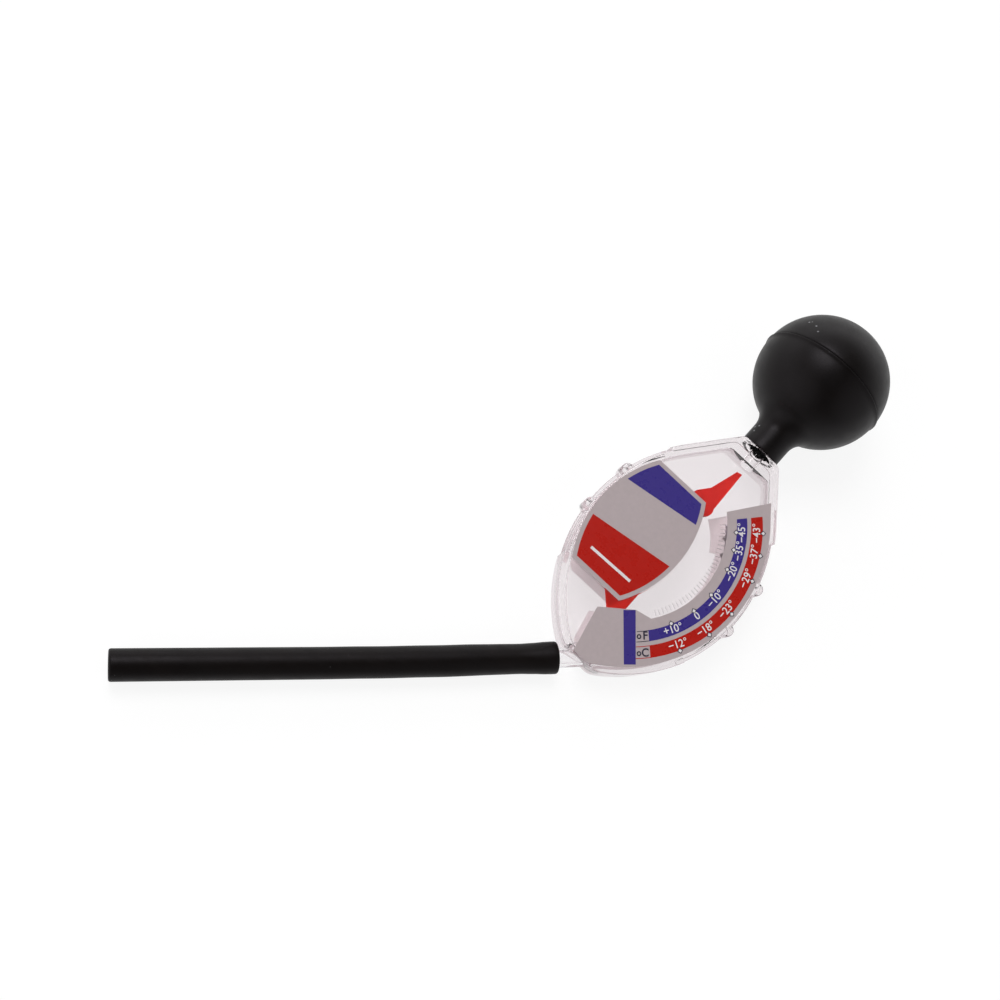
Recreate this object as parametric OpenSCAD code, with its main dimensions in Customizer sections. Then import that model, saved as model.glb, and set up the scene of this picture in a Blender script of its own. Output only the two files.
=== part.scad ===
// Antifreeze hydrometer: a flat clear case with a dial and a float pointer,
// a rubber squeeze bulb on its neck and a pick-up hose on its inlet.
// It lies on its back, on the bulb and on the rear bottom edge of the case.

/* [Case] */
// Length of the case from its bottom end to its neck end
case_len = 88.2; // [87:0.2:92]
// Width of the case at its widest point, without the lugs
case_w = 59.2; // [58.8:0.2:64]
// Thickness of the case from front face to rear face
case_t = 12; // [11.8:0.2:15]
// Height of the neck end above the widest point
neck_rise = 46; // [45:0.5:49]
// Radius of the curved sides
side_r = 50; // [47:1:56]
// Wall thickness of both shells
wall = 1.5; // [1.2:0.1:1.6]
// Step between the thick ends of the case and its slimmer middle
side_step = 1.1; // [0.6:0.1:1.2]
// Height of the upper steps above the widest point
step_upper = 26.3; // [24:0.1:30]
// Height of the lower steps above the widest point
step_lower = -21.2; // [-26:0.1:-19]
// Thickness of the weld flange on each shell
flange_t = 1; // [0.6:0.1:1.6]
// Radius of the round lugs on the sides
lug_r = 2; // [1.8:0.1:2.4]
// How far the lugs stand out of the sides
lug_out = 1.2; // [0.6:0.1:1.5]
// Height of the upper lug on each side, above the widest point
lug_upper = 12; // [8:0.5:16]
// Height of the lower lug on each side, above the widest point
lug_lower = -4; // [-8:0.1:2]

/* [Dial] */
// Distance of the pivot to the left of the centre line
pivot_offset = 12.3; // [12.1:0.1:13]
// Inner radius of the rear scale label, from the pivot
scale_r = 27.8; // [27:0.2:28.4]
// Inner radius of the front scale label, from the centre of its printed arcs
front_scale_r = 31.2; // [30.8:0.2:31.6]
// Distance of that centre to the left of the pivot
scale_shift = 4.5; // [4:0.1:4.8]
// Direction of the scale labels' upper end
scale_top_deg = 54.5; // [50:0.5:58]
// Direction of the scale labels' lower end
scale_end_deg = -77.5; // [-80:0.5:-74]
// Bare edge of the face outside the scale labels
label_margin = 1.1; // [1:0.1:2]
// Thickness of the labels
label_t = 0.2; // [0.1:0.05:0.3]
// Extra width of the rear scale label at its upper end
rear_ear = 2; // [1:0.1:3]
// Length of the title labels along the case
title_len = 41.8; // [38:0.2:43]
// Width of the title labels at their two ends
title_end_w = 19.4; // [16:0.2:20]
// Width of the title labels at their middle
title_mid_w = 31.4; // [27:0.2:31.6]
// Distance of the title labels' middle below the pivot
title_drop = 0.4; // [0:0.1:0.8]
// Height of the pads that the title labels are stuck on
pad_t = 0.3; // [0.2:0.1:0.5]
// Width of a pad's edge around its title label
pad_edge = 0.3; // [0.2:0.1:0.4]
// Number of moulded graduation ribs inside the scale
rib_count = 31; // [21:2:41]
// Length of a graduation rib
rib_len = 1.8; // [1.2:0.1:2.2]

/* [Pointer] */
// Radius of the pivot pin
pin_r = 0.8; // [0.6:0.05:1]
// Thickness of the pointer's plate
pointer_t = 1.6; // [1.2:0.1:1.8]
// Height of the pointer's tip above the pivot
tip_rise = 36.8; // [34:0.2:36.8]
// Distance of the pointer's straight edge to the right of the pivot
arm_x = 12.8; // [11:0.2:13]
// Width of the pointer's tip
tip_w = 1.8; // [1.2:0.1:2.4]
// Radius of the pointer's hub
hub_r = 2.6; // [2.2:0.1:3.2]
// Radius of the brass weight in the pointer's tail
weight_r = 2.8; // [2:0.1:3]
// Length of the brass weight
weight_len = 3; // [2:0.1:3.4]
// Distance of the brass weight from the pivot
weight_arm = 8; // [7:0.2:9]
// Thickness of the pivot carrier
carrier_t = 1.2; // [0.8:0.1:1.6]

/* [Bulb] */
// Outside diameter of the rubber bulb
bulb_d = 44; // [40:0.5:48]
// Height of the bulb's centre above the neck end of the case
bulb_rise = 33.1; // [31:0.1:36]
// Rubber wall of the bulb
bulb_wall = 2; // [1.5:0.1:3]
// Outside diameter of the bulb's neck
neck_d = 13.6; // [12:0.1:14]
// Radius of the sweep between neck and ball
neck_fillet = 8; // [5:0.5:9]
// Diameter of the case's stub that the neck is pushed over
stub_d = 9.4; // [8.6:0.1:9.6]
// Length of the stub
stub_len = 8; // [6:0.5:9]
// Diameter of the air passage in the stub
passage_d = 5; // [4:0.1:6]

/* [Inlet and hose] */
// Outside diameter of the inlet tube
tube_d = 6; // [5.6:0.1:6.4]
// Bore of the inlet tube
tube_bore_d = 4; // [3:0.1:4.4]
// Length of the inlet tube outside the case
tube_out = 11.6; // [10:0.1:12]
// Length of the inlet tube inside the case
tube_in = 8; // [7:0.5:9]
// Radius of the boss around the inlet tube
boss_r = 4.4; // [4.2:0.1:4.8]
// Place of the inlet on the bottom end, to the right of the centre line
inlet_x = -0.8; // [-1.4:0.1:-0.2]
// Direction of the inlet, from the case's right
inlet_deg = 225; // [223:0.5:227]
// Outside diameter of the hose
hose_d = 9.6; // [9:0.1:9.6]

/* [Hidden] */
$fn = 96;

// Small working values
seat_gap = 0.05;
run_gap = 0.06;
side_gap = 0.4;
cut = 1;
far = 200;

// Case, drawn with the pivot level at y = 0 and the weld plane at z = 0
half_t = case_t / 2;
case_top = neck_rise;
case_bottom = neck_rise - case_len;
arc_x = side_r - case_w / 2;
neck_face_w = neck_d + 0.8;
inner_face = half_t - wall;
chamber_inset = side_step + wall;

// The shoulders run from the neck face to the sides, where they touch the arcs
shoulder_dx = neck_face_w / 2 + arc_x;
shoulder_deg = atan2(case_top, shoulder_dx) - acos(side_r / norm([shoulder_dx, case_top]));
shoulder_lap = 0.1;

// The bulb stands on the case's centre line
bulb_r = bulb_d / 2;
bulb_y = case_top + bulb_rise;
neck_block = 5.5;
chamber_top = case_top - neck_block;
fillet_x = neck_d / 2 + neck_fillet;
fillet_y = bulb_y - sqrt(pow(bulb_r + neck_fillet, 2) - pow(fillet_x, 2));
touch = bulb_r / (bulb_r + neck_fillet);

// Levels along the pivot, from the rear face to the front face
pointer_z = 0.6;
hub_low = pointer_z - 1.2;
hub_high = pointer_z + pointer_t + 0.5;
spigot_top = hub_low - side_gap;
carrier_z = spigot_top - carrier_t - 0.1;
spigot_r = 2.6;
shoulder_r = 4.5;
pin_seat = 3;
weight_z = pointer_z + pointer_t / 2 - weight_len / 2;
front_boss_z = hub_high + side_gap;

// Pointer, from the pivot
arm_low = [arm_x + 0.5, 22.4];
arm_knee = [8.2, 26.7];
arm_ear = [5.4, 23.1];
arm_foot_r = 2.8;
tail_deg = 250;
tail_r = weight_r + 1.2;

// Pivot carrier, from the pivot
foot_x = arm_x + 0.9;
foot_low = -26.5;
foot_tip_w = 1.6;
foot_corner = [4.6, -19.2];
post_r = 1.6;
post_at = [11.4, -19];

// Title labels, barrels with straight ends
title_sag = (title_mid_w - title_end_w) / 2;
title_r = (pow(title_len / 2, 2) + pow(title_sag, 2)) / (2 * title_sag);

// Scale labels
front_low_gap = 0.3;
rear_low_gap = 2;
ear_deg = 31;
foot_end_deg = -41.4;
foot_step_deg = -52;
foot_step = 2.8;

// Graduation ribs
rib_w = 0.35;
rib_t = 0.2;
rib_from = -33;
rib_to = 40;
rib_gap = 0.5;

// The rest pose leans the case back until the bulb and its rear bottom edge touch the floor
reach = bulb_y - case_bottom;
rest_tilt = asin(bulb_r / norm([reach, half_t])) - atan2(half_t, reach);
front_y = (case_bottom + tube_out * sin(inlet_deg) - tube_d / 2 * abs(cos(inlet_deg))) * cos(rest_tilt);
back_y = bulb_y * cos(rest_tilt) + bulb_r;
rest_at = [0, -(front_y + back_y) / 2, bulb_r - bulb_y * sin(rest_tilt)];

// Centre line of the hose on the floor, from the inlet tube to its open end
hose_route = [
  [-4.6, -69.7, 5.3], [-10.8, -75.9, 4.8], [-17, -82.1, 4.8], [-23.2, -88.3, 4.8],
  [-29.4, -94.6, 4.8], [-35.7, -100.8, 4.8], [-42, -107.1, 4.8], [-48.3, -113.2, 4.8],
  [-54.6, -119.4, 4.8], [-60.9, -125.5, 4.8], [-67.2, -131.6, 4.8], [-73.5, -137.7, 4.8],
  [-79.9, -143.9, 4.8], [-86.2, -150, 4.8], [-92.6, -156.2, 4.8], [-98.9, -162.3, 4.8]
];
hose_sides = 12;
hose_ring_step = 3;

// Puts a piece drawn in the case's own frame into the rest pose
module rest() {
  translate(rest_at)
    rotate([rest_tilt, 0, 0])
      children();
}

module at_pivot() {
  translate([-pivot_offset, 0, 0])
    children();
}

// Lays a shape drawn along +Z on the inlet's axis, starting at the bottom end
module along_inlet() {
  translate([inlet_x, case_bottom, 0])
    rotate([0, 90, inlet_deg])
      children();
}

// Stands a shape drawn along +Z on the case's centre line, pointing at the bulb
module along_neck() {
  rotate([-90, 0, 0])
    children();
}

// Half width of the case's curved side at a height
function side_x(y) = sqrt(pow(side_r, 2) - pow(y, 2)) - arc_x;

// Half width of the shoulder at the neck face, drawn in by an inset
function neck_x(inset) =
  (side_r - inset - case_top * sin(shoulder_deg)) / cos(shoulder_deg) - arc_x;

// Curved sides from a low end up to the shoulders, then the shoulders up to the neck face
module case_outline(inset, low) {
  inner_r = side_r - inset;
  sides_top = (inner_r * sin(shoulder_deg) + case_top) / 2;
  lap_x = (inner_r - shoulder_lap) * cos(shoulder_deg) - arc_x;
  lap_y = (inner_r - shoulder_lap) * sin(shoulder_deg);
  intersection() {
    translate([-arc_x, 0])
      circle(inner_r);
    translate([arc_x, 0])
      circle(inner_r);
    translate([-far / 2, low])
      square([far, sides_top - low]);
  }
  polygon([
    [lap_x, lap_y], [neck_x(inset), case_top], [-neck_x(inset), case_top],
    [-lap_x, lap_y], [-lap_x / 2, 0], [lap_x / 2, 0]
  ]);
}

// The two thick ends of the case, above the upper and below the lower steps
module thick_ends() {
  difference() {
    case_outline(0, case_bottom);
    translate([-far / 2, step_lower])
      square([far, step_upper - step_lower]);
  }
}

module lugs() {
  for (side = [-1, 1], y = [lug_upper, lug_lower])
    translate([side * (side_x(y) + lug_out - lug_r), y])
      circle(lug_r);
}

module chamber() {
  intersection() {
    case_outline(chamber_inset, case_bottom + wall);
    translate([-far / 2, chamber_top - far])
      square(far);
  }
}

module title_shape(grow) {
  at_pivot()
    translate([0, -title_drop])
      intersection() {
        title_side(-1, grow);
        title_side(1, grow);
        square([far, title_len + 2 * grow], center = true);
      }
}

module title_side(side, grow) {
  translate([side * (title_r - title_mid_w / 2), 0])
    circle(title_r + grow);
}

// Wedge about the pivot between two directions
module sector(from, to) {
  at_pivot()
    polygon(concat(
      [[0, 0]],
      [for (i = [0 : 4]) let (a = from + i * (to - from) / 4) far / 2 * [cos(a), sin(a)]]
    ));
}

// Band inside the case's right edge, wider at its lower end
module scale_shape(low_gap, inner_r, shift, ear) {
  intersection() {
    case_outline(side_step + label_margin, case_bottom + low_gap);
    difference() {
      sector(scale_end_deg, scale_top_deg);
      difference() {
        at_pivot()
          translate([-shift, 0])
            circle(inner_r);
        at_pivot()
          scale_foot();
        if (ear > 0)
          difference() {
            sector(ear_deg, scale_top_deg);
            at_pivot()
              circle(inner_r - ear);
          }
      }
    }
  }
}

// The lower end of the scale reaches inwards to a straight edge
module scale_foot() {
  foot_left = scale_r * [cos(scale_end_deg), sin(scale_end_deg)];
  foot_right = (scale_r - foot_step) * [cos(foot_step_deg), sin(foot_step_deg)];
  foot_meet = scale_r * [cos(foot_end_deg), sin(foot_end_deg)];
  polygon([foot_left, foot_right, foot_meet, 2 * foot_meet, 2 * foot_left]);
}

module graduations() {
  at_pivot()
    translate([-scale_shift, 0, half_t - rib_t])
      for (i = [0 : rib_count - 1])
        rotate(rib_from + i * (rib_to - rib_from) / (rib_count - 1))
          translate([front_scale_r - rib_gap - rib_len, -rib_w / 2, 0])
            cube([rib_len, rib_w, 2 * rib_t]);
}

// One shell without its pivot boss, on the +Z side of the weld plane
module shell_body() {
  difference() {
    union() {
      linear_extrude(flange_t)
        case_outline(0, case_bottom);
      linear_extrude(half_t)
        case_outline(side_step, case_bottom);
      linear_extrude(half_t)
        thick_ends();
      linear_extrude(inner_face)
        lugs();
      linear_extrude(half_t + pad_t)
        title_shape(pad_edge);
    }
    translate([0, 0, -cut])
      linear_extrude(inner_face + cut)
        chamber();
  }
  intersection() {
    along_inlet()
      translate([0, 0, -tube_in])
        cylinder(r = boss_r, h = 2 * tube_in);
    linear_extrude(half_t)
      case_outline(side_step, case_bottom);
  }
  intersection() {
    along_neck()
      translate([0, 0, case_top - cut])
        cylinder(d = stub_d, h = stub_len + cut);
    translate([-far / 2, 0, 0])
      cube(far);
  }
}

// Air passage from the chamber through the stub, and the inlet's bore
module shell_bores() {
  along_neck()
    translate([0, 0, chamber_top - cut])
      cylinder(d = passage_d, h = neck_block + stub_len + 2 * cut);
  along_inlet()
    translate([0, 0, -tube_in - cut])
      cylinder(d = tube_d + 2 * seat_gap, h = 2 * tube_in + cut);
}

module front_shell() {
  color([0.9, 0.88, 0.89, 0.35])
    rest()
      difference() {
        union() {
          shell_body();
          graduations();
          at_pivot()
            translate([0, 0, front_boss_z])
              cylinder(r = spigot_r, h = inner_face - front_boss_z + cut / 2);
        }
        shell_bores();
        at_pivot()
          translate([0, 0, front_boss_z - cut])
            cylinder(r = pin_r + seat_gap, h = inner_face - front_boss_z + cut);
      }
}

module rear_shell() {
  color([0.88, 0.86, 0.87, 0.35])
    rest()
      difference() {
        union() {
          mirror([0, 0, 1])
            shell_body();
          at_pivot() {
            translate([0, 0, -inner_face - cut / 2])
              cylinder(r = shoulder_r, h = inner_face + carrier_z + cut / 2);
            translate([0, 0, -inner_face - cut / 2])
              cylinder(r = spigot_r, h = inner_face + spigot_top + cut / 2);
            translate([post_at[0], post_at[1], -inner_face - cut / 2])
              cylinder(r = post_r, h = inner_face + carrier_z + cut / 2);
          }
        }
        shell_bores();
        at_pivot()
          translate([0, 0, spigot_top - pin_seat])
            cylinder(r = pin_r + seat_gap, h = pin_seat + cut);
      }
}

module inlet_tube() {
  color([0.9, 0.88, 0.89, 0.5])
    rest()
      along_inlet()
        translate([0, 0, -tube_in])
          difference() {
            cylinder(d = tube_d, h = tube_in + tube_out);
            translate([0, 0, -cut])
              cylinder(d = tube_bore_d, h = tube_in + tube_out + 2 * cut);
          }
}

module pivot_pin() {
  color("silver")
    rest()
      at_pivot()
        translate([0, 0, spigot_top - pin_seat])
          cylinder(r = pin_r, h = inner_face - spigot_top + pin_seat);
}

// Plate around the pivot, with a foot that points at the bottom end
module pivot_carrier() {
  ring_r = shoulder_r + 1;
  color("firebrick")
    rest()
      at_pivot()
        translate([0, 0, carrier_z])
          difference() {
            union() {
              cylinder(r = ring_r, h = carrier_t);
              linear_extrude(carrier_t)
                polygon([
                  ring_r * [-0.87, 0.36], ring_r * [0, 0.95], [foot_x, -9], [foot_x, foot_low],
                  [foot_x - foot_tip_w, foot_low], foot_corner
                ]);
            }
            translate([0, 0, -cut])
              cylinder(r = spigot_r + seat_gap, h = carrier_t + 2 * cut);
          }
}

module pointer_outline() {
  hub_side = 0.7 * hub_r;
  polygon([
    [arm_x - tip_w, tip_rise - 0.4], [arm_x, tip_rise], arm_low, [hub_side, -hub_side],
    [-hub_side, hub_side], arm_ear, arm_knee
  ]);
  translate(arm_low - [arm_foot_r - 0.4, 1.8])
    circle(arm_foot_r);
}

module pointer_tail() {
  rotate(tail_deg) {
    translate([weight_arm, 0])
      circle(tail_r);
    translate([0, -hub_r])
      square([weight_arm, 2 * hub_r]);
  }
}

module pointer() {
  color([0.85, 0.16, 0.13])
    rest()
      at_pivot()
        difference() {
          union() {
            translate([0, 0, pointer_z])
              linear_extrude(pointer_t) {
                pointer_outline();
                pointer_tail();
              }
            translate([0, 0, hub_low])
              cylinder(r = hub_r, h = hub_high - hub_low);
          }
          translate([0, 0, hub_low - cut])
            cylinder(r = pin_r + run_gap, h = hub_high - hub_low + 2 * cut);
          rotate(tail_deg)
            translate([weight_arm, 0, pointer_z - cut])
              cylinder(r = weight_r + seat_gap, h = pointer_t + 2 * cut);
        }
}

module pointer_weight() {
  color("goldenrod")
    rest()
      at_pivot()
        rotate(tail_deg)
          translate([weight_arm, 0, weight_z])
            cylinder(r = weight_r, h = weight_len);
}

// Half section of the whole bulb, with its height above the pivot level along y
module bulb_section() {
  difference() {
    union() {
      intersection() {
        translate([0, bulb_y])
          circle(bulb_r);
        translate([0, case_top])
          square(far);
      }
      translate([0, case_top])
        square([neck_d / 2, bulb_y - case_top]);
      difference() {
        polygon([
          [0, fillet_y], [fillet_x, fillet_y],
          [fillet_x * touch, bulb_y + (fillet_y - bulb_y) * touch], [0, bulb_y]
        ]);
        translate([fillet_x, fillet_y])
          circle(neck_fillet);
      }
    }
    translate([0, bulb_y])
      circle(bulb_r - bulb_wall);
    translate([-cut, case_top - cut])
      square([stub_d / 2 + seat_gap + cut, bulb_y - case_top]);
  }
}

// Neck side of the bulb, up to its moulded seam
module bulb() {
  color([0.1, 0.1, 0.11])
    rest()
      along_neck()
        rotate_extrude()
          intersection() {
            bulb_section();
            square([far, bulb_y]);
          }
}

// Outer side of the bulb, beyond its moulded seam
module bulb_crown() {
  color([0.12, 0.12, 0.13])
    rest()
      along_neck()
        rotate_extrude()
          intersection() {
            bulb_section();
            translate([0, bulb_y])
              square(far);
          }
}

module front_scale_label() {
  color([0.72, 0.7, 0.7])
    rest()
      translate([0, 0, half_t])
        linear_extrude(label_t)
          scale_shape(front_low_gap, front_scale_r, scale_shift, 0);
}

module rear_scale_label() {
  color([0.72, 0.7, 0.7])
    rest()
      translate([0, 0, -half_t - label_t])
        linear_extrude(label_t)
          scale_shape(rear_low_gap, scale_r, 0, rear_ear);
}

module front_title_label() {
  color([0.24, 0.2, 0.5])
    rest()
      translate([0, 0, half_t + pad_t])
        linear_extrude(label_t)
          title_shape(0);
}

module rear_title_label() {
  color([0.24, 0.2, 0.5])
    rest()
      translate([0, 0, -half_t - pad_t - label_t])
        linear_extrude(label_t)
          title_shape(0);
}

// Hose: rings swept along the route, with an outer and an inner wall and two open ends
function unit(v) = v / norm(v);

function hose_stops() = [for (i = [0 : hose_ring_step : len(hose_route) - 1]) hose_route[i]];

function heading(stops, i) =
  unit(stops[min(i + 1, len(stops) - 1)] - stops[max(i - 1, 0)]);

function ring(stops, i, r) =
  let (along = heading(stops, i), across = unit(cross(along, [0, 0, 1])), up = cross(across, along))
  [for (k = [0 : hose_sides - 1]) let (a = (k + 0.5) * 360 / hose_sides)
    stops[i] + r * cos(a) * across + r * sin(a) * up];

// Two triangles between neighbouring points of two rings that start at a and b
function band(a, b) =
  [for (k = [0 : hose_sides - 1], flip = [0, 1]) let (n = (k + 1) % hose_sides)
    flip == 0 ? [a + k, b + k, b + n] : [a + k, b + n, a + n]];

module hose() {
  stops = hose_stops();
  rings = len(stops);
  flat = cos(180 / hose_sides);
  outer = [for (i = [0 : rings - 1]) each ring(stops, i, hose_d / 2)];
  inner = [for (i = [0 : rings - 1]) each ring(stops, i, tube_d / 2 / flat)];
  bore = rings * hose_sides;
  last = (rings - 1) * hose_sides;
  color([0.11, 0.1, 0.1])
    polyhedron(
      points = concat(outer, inner),
      faces = concat(
        [for (i = [0 : rings - 2]) each band(i * hose_sides, (i + 1) * hose_sides)],
        [for (i = [0 : rings - 2]) each band(bore + (i + 1) * hose_sides, bore + i * hose_sides)],
        band(bore, 0),
        band(last, bore + last)
      )
    );
}

front_shell();
rear_shell();
inlet_tube();
hose();
bulb();
bulb_crown();
pointer();
pointer_weight();
pivot_pin();
pivot_carrier();
front_scale_label();
front_title_label();
rear_scale_label();
rear_title_label();
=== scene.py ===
import math

import bmesh
import bpy
from mathutils import Matrix, Vector


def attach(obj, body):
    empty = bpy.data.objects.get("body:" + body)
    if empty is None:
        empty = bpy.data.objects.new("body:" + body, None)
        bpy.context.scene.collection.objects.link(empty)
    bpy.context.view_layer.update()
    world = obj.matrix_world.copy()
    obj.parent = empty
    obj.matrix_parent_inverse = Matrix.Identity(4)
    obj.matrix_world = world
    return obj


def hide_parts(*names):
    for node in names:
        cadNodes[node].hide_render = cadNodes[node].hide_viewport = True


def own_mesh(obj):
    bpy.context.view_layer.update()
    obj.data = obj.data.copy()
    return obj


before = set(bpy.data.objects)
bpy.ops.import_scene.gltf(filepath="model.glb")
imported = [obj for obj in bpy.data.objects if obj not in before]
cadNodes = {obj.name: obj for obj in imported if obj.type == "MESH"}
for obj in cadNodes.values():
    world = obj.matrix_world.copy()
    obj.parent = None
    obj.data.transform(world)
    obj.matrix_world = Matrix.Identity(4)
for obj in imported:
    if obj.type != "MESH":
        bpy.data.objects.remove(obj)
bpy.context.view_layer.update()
scene = bpy.context.scene
scene.view_settings.view_transform = "Standard"
mm = 0.001

# the case leans back on the bulb: everything on it is drawn flat, then tilted
leanBack = {"tilt": 7.6048, "at": (0, -24.171244, 11.531951), "pivotX": -12.3}
caseToFloor = (Matrix.Translation(Vector(leanBack["at"]) * mm)
               @ Matrix.Rotation(math.radians(leanBack["tilt"]), 4, "X"))
pivotToFloor = caseToFloor @ Matrix.Translation((leanBack["pivotX"] * mm, 0, 0))


# camera
view = {"lens": 57.6, "sensor": 36, "at": (-49.77, -226.759, 465.069),
        "right": (0.73135, 0.634084, 0.251114), "up": (-0.682, 0.679974, 0.269285),
        "back": (0, -0.368202, 0.929749)}


def placeCamera():
    data = bpy.data.cameras.new("camera")
    data.lens = view["lens"]
    data.sensor_width = view["sensor"]
    data.clip_start, data.clip_end = 0.01, 20
    camera = bpy.data.objects.new("camera", data)
    turn = Matrix((view["right"], view["up"], view["back"])).transposed()
    camera.matrix_world = Matrix.Translation(Vector(view["at"]) * mm) @ turn.to_4x4()
    scene.collection.objects.link(camera)
    scene.camera = camera


placeCamera()
print("camera placed")


# small helpers for node materials
def newFinish(name):
    finish = bpy.data.materials.new(name)
    finish.use_nodes = True
    tree = finish.node_tree
    tree.nodes.clear()
    out = tree.nodes.new("ShaderNodeOutputMaterial")
    shader = tree.nodes.new("ShaderNodeBsdfPrincipled")
    tree.links.new(shader.outputs[0], out.inputs["Surface"])
    return finish, tree, shader, out


def mathNode(tree, operation, first, second):
    node = tree.nodes.new("ShaderNodeMath")
    node.operation = operation
    for socket, given in zip(node.inputs, (first, second)):
        if isinstance(given, float):
            socket.default_value = given
        else:
            tree.links.new(given, socket)
    return node.outputs[0]


# the usual shader where fac is 0, the other one where it is 1
def mixOnto(tree, out, fac, usual, other):
    mix = tree.nodes.new("ShaderNodeMixShader")
    tree.links.new(fac, mix.inputs[0])
    tree.links.new(usual.outputs[0], mix.inputs[1])
    tree.links.new(other.outputs[0], mix.inputs[2])
    tree.links.new(mix.outputs[0], out.inputs["Surface"])


def noiseNode(tree, scale, detail=3, rough=0.55, stretch=None):
    where = tree.nodes.new("ShaderNodeTexCoord").outputs["Object"]
    if stretch:
        squeeze = tree.nodes.new("ShaderNodeMapping")
        squeeze.inputs["Rotation"].default_value = stretch[0]
        squeeze.inputs["Scale"].default_value = stretch[1]
        tree.links.new(where, squeeze.inputs["Vector"])
        where = squeeze.outputs["Vector"]
    noise = tree.nodes.new("ShaderNodeTexNoise")
    noise.inputs["Scale"].default_value = scale
    noise.inputs["Detail"].default_value = detail
    noise.inputs["Roughness"].default_value = rough
    tree.links.new(where, noise.inputs["Vector"])
    return noise.outputs["Fac"]


def spread(tree, fac, low, high, fromLow=0.3, fromHigh=0.7):
    ramp = tree.nodes.new("ShaderNodeMapRange")
    for socket, value in zip(("From Min", "From Max", "To Min", "To Max"),
                             (fromLow, fromHigh, low, high)):
        ramp.inputs[socket].default_value = value
    tree.links.new(fac, ramp.inputs["Value"])
    return ramp.outputs["Result"]


def tintBetween(tree, fac, dark, pale, fromLow=0.3, fromHigh=0.7):
    ramp = tree.nodes.new("ShaderNodeValToRGB")
    ramp.color_ramp.elements[0].position, ramp.color_ramp.elements[1].position = fromLow, fromHigh
    ramp.color_ramp.elements[0].color, ramp.color_ramp.elements[1].color = (*dark, 1), (*pale, 1)
    tree.links.new(fac, ramp.inputs["Fac"])
    return ramp.outputs["Color"]


def bumpFrom(tree, shader, height, strength, distance):
    bump = tree.nodes.new("ShaderNodeBump")
    bump.inputs["Strength"].default_value = strength
    bump.inputs["Distance"].default_value = distance
    tree.links.new(height, bump.inputs["Height"])
    tree.links.new(bump.outputs["Normal"], shader.inputs["Normal"])


def mottledFinish(name, tone, change, rough, grain, bump, shine=0.5):
    finish, tree, shader, out = newFinish(name)
    fac = noiseNode(tree, grain)
    dark = [c * (1 - change) for c in tone]
    pale = [min(1, c * (1 + change)) for c in tone]
    tree.links.new(tintBetween(tree, fac, dark, pale), shader.inputs["Base Color"])
    tree.links.new(spread(tree, noiseNode(tree, grain * 0.37), *rough), shader.inputs["Roughness"])
    bumpFrom(tree, shader, noiseNode(tree, grain * 2.3), *bump)
    shader.inputs["Specular IOR Level"].default_value = shine
    return finish


# clear plastic: glass that lets the lamps through, darker and pinker where it is seen edge on. That tint is
# partly the plastic's own tint through its thickness and partly painted shade for the dark lines that bending
# light draws at its edges
glass = {"edgeOn": (0.12, 0.9), "coat": 0.3, "coatRough": 0.04, "smear": 120, "ripple": 60,
         "rippleBump": (0.02, 2e-5)}


def clearFinish(name, tint, edgeTintAndShade, through, rough, bend):
    finish, tree, shader, out = newFinish(name)
    facing = tree.nodes.new("ShaderNodeLayerWeight")
    facing.inputs["Blend"].default_value = 0.5
    # base colour turns darker and pinker as the surface is seen edge on: partly painted shade
    tree.links.new(tintBetween(tree, facing.outputs["Facing"], tint, edgeTintAndShade, *glass["edgeOn"]),
                   shader.inputs["Base Color"])
    shader.inputs["Transmission Weight"].default_value = 1
    shader.inputs["IOR"].default_value = bend
    shader.inputs["Coat Weight"].default_value = glass["coat"]
    shader.inputs["Coat Roughness"].default_value = glass["coatRough"]
    tree.links.new(spread(tree, noiseNode(tree, glass["smear"]), *rough), shader.inputs["Roughness"])
    bumpFrom(tree, shader, noiseNode(tree, glass["ripple"], detail=1), *glass["rippleBump"])
    clear = tree.nodes.new("ShaderNodeBsdfTransparent")
    clear.inputs["Color"].default_value = (*through, 1)
    path = tree.nodes.new("ShaderNodeLightPath")
    mixOnto(tree, out, path.outputs["Is Shadow Ray"], shader, clear)
    return finish


# black rubber, with fine grain and a few specks of dust
rubber = {"cloud": 160, "smear": 300, "grain": 2400, "grainBump": (0.16, 3e-5), "sheenRough": 0.4,
          "glint": (0.98, 0.92, 1)}


def rubberFinish(name, tone, shine, sheen, rough, dust, streak=None):
    finish, tree, shader, out = newFinish(name)
    fac = noiseNode(tree, rubber["cloud"], detail=5, stretch=streak)
    base = tintBetween(tree, fac, tone, [c * 1.5 for c in tone])
    cell = tree.nodes.new("ShaderNodeTexVoronoi")
    cell.inputs["Scale"].default_value = dust["scale"]
    tree.links.new(tree.nodes.new("ShaderNodeTexCoord").outputs["Object"], cell.inputs["Vector"])
    near = spread(tree, cell.outputs["Distance"], 1, 0, dust["size"] * 0.6, dust["size"])
    rare = spread(tree, noiseNode(tree, dust["patch"], detail=1), 0, 1, 0.66, 0.7)
    blend = tree.nodes.new("ShaderNodeMix")
    blend.data_type = "RGBA"
    tree.links.new(mathNode(tree, "MULTIPLY", near, rare), blend.inputs["Factor"])
    tree.links.new(base, blend.inputs["A"])
    blend.inputs["B"].default_value = (*dust["tone"], 1)
    tree.links.new(blend.outputs["Result"], shader.inputs["Base Color"])
    smear = noiseNode(tree, rubber["smear"], stretch=streak)
    tree.links.new(spread(tree, smear, *rough), shader.inputs["Roughness"])
    bumpFrom(tree, shader, noiseNode(tree, rubber["grain"], detail=4, stretch=streak), *rubber["grainBump"])
    shader.inputs["Specular IOR Level"].default_value = shine
    shader.inputs["Sheen Weight"].default_value = sheen
    shader.inputs["Sheen Roughness"].default_value = rubber["sheenRough"]
    shader.inputs["Specular Tint"].default_value = (*rubber["glint"], 1)
    return finish


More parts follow.
